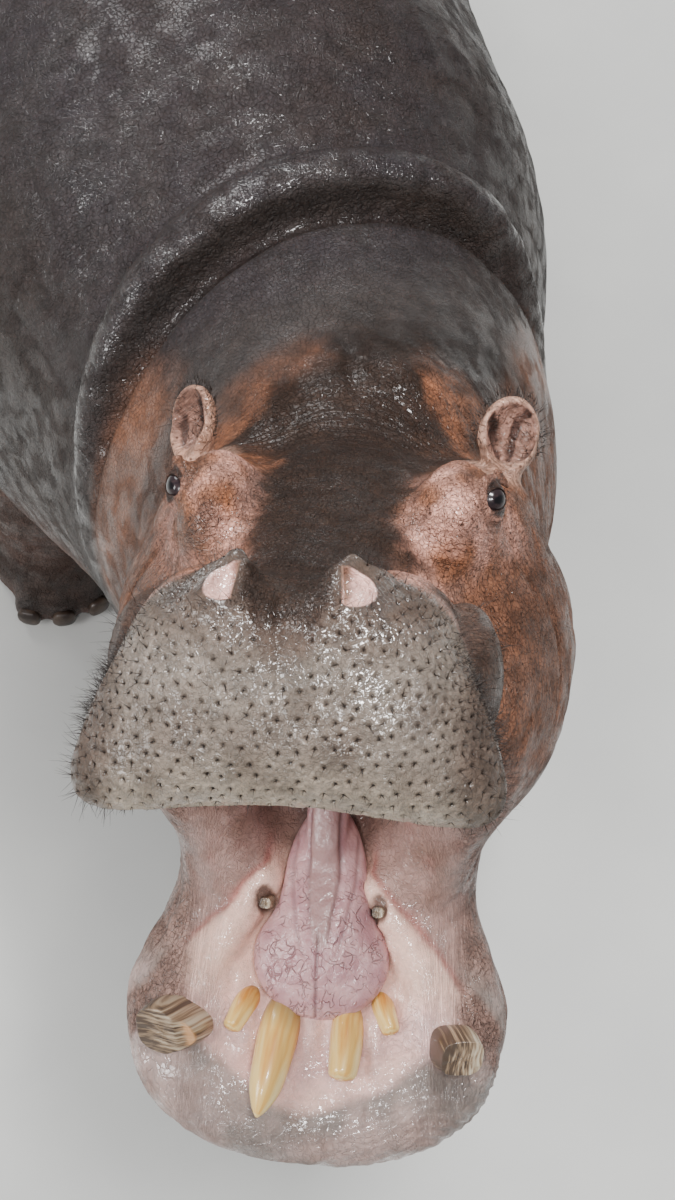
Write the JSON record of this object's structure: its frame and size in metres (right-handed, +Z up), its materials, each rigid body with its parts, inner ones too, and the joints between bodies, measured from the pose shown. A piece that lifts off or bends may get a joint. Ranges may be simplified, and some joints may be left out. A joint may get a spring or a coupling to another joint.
{
  "type": "hippopotamus",
  "caption": "Life-size standing hippopotamus, still model, head turned and raised with the mouth wide open; rests on its four feet.",
  "frame": {"origin": "middle of the bounding box's base, on the floor between the feet", "axes": "+Z up, the animal faces -Y, its left side is +X"},
  "size_m": [1.2232, 3.7036, 2.0386],
  "materials": {
    "hide": "dark grey-brown wet hide, finely wrinkled",
    "face_hide": "orange-pink and dark brown wet hide, grey on the muzzle",
    "jaw_hide": "mottled pink-grey wet lip and pale pink gum",
    "tongue": "wet mauve-pink, wrinkled, with a groove along the middle",
    "eye": "dark wet eye",
    "tooth": "ivory yellow, smooth",
    "worn_tooth": "brown, worn, ringed",
    "nail": "dark horn"
  },
  "bodies": {
    "root": {"ear_left": "face_hide", "ear_right": "face_hide", "eye_left": "eye", "eye_right": "eye", "foreleg_left": "hide", "foreleg_right": "hide", "head": "face_hide", "hindleg_left": "hide", "hindleg_right": "hide", "lower_canine_left": "worn_tooth", "lower_canine_right": "worn_tooth", "lower_incisor_left_inner": "tooth", "lower_incisor_left_outer": "tooth", "lower_incisor_right_inner": "tooth", "lower_incisor_right_outer": "tooth", "lower_jaw": "jaw_hide", "lower_premolar_left": "worn_tooth", "lower_premolar_right": "worn_tooth", "nail_foreleg_left_1": "nail", "nail_foreleg_left_2": "nail", "nail_foreleg_left_3": "nail", "nail_foreleg_left_4": "nail", "nail_foreleg_right_1": "nail", "nail_foreleg_right_2": "nail", "nail_foreleg_right_3": "nail", "nail_foreleg_right_4": "nail", "nail_hindleg_left_1": "nail", "nail_hindleg_left_2": "nail", "nail_hindleg_left_3": "nail", "nail_hindleg_left_4": "nail", "nail_hindleg_right_1": "nail", "nail_hindleg_right_2": "nail", "nail_hindleg_right_3": "nail", "nail_hindleg_right_4": "nail", "neck": "hide", "tail": "hide", "tongue": "tongue", "trunk": "hide", "upper_canine_left": "tooth", "upper_canine_right": "tooth", "upper_incisor_left_inner": "tooth", "upper_incisor_left_outer": "tooth", "upper_incisor_right_inner": "tooth", "upper_incisor_right_outer": "tooth"}
  },
  "joints": []
}
